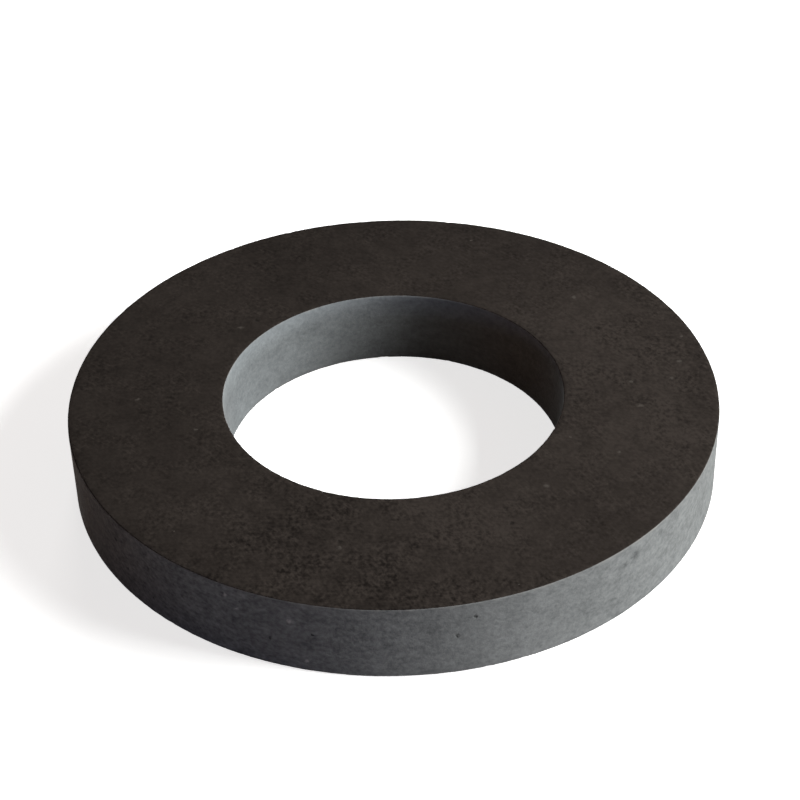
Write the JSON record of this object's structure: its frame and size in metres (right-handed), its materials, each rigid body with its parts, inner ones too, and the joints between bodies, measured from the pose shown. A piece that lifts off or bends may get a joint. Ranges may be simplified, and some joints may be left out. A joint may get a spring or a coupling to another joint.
{
  "type": "ring magnet",
  "caption": "Flat ceramic ring magnet with a plain through bore and ground pole faces, for holding, sensing and demonstration rigs.",
  "frame": {"origin": "centre of the bore in the plane of the lower pole face", "axes": "+Z along the bore axis, from the lower pole face to the upper one; X and Y lie in the lower pole face"},
  "size_m": [0.08, 0.08, 0.01],
  "materials": {
    "ferrite": "matt sintered ferrite, with ground pole faces and as-fired walls"
  },
  "bodies": {
    "root": {"ring_magnet": "ferrite"}
  },
  "joints": []
}
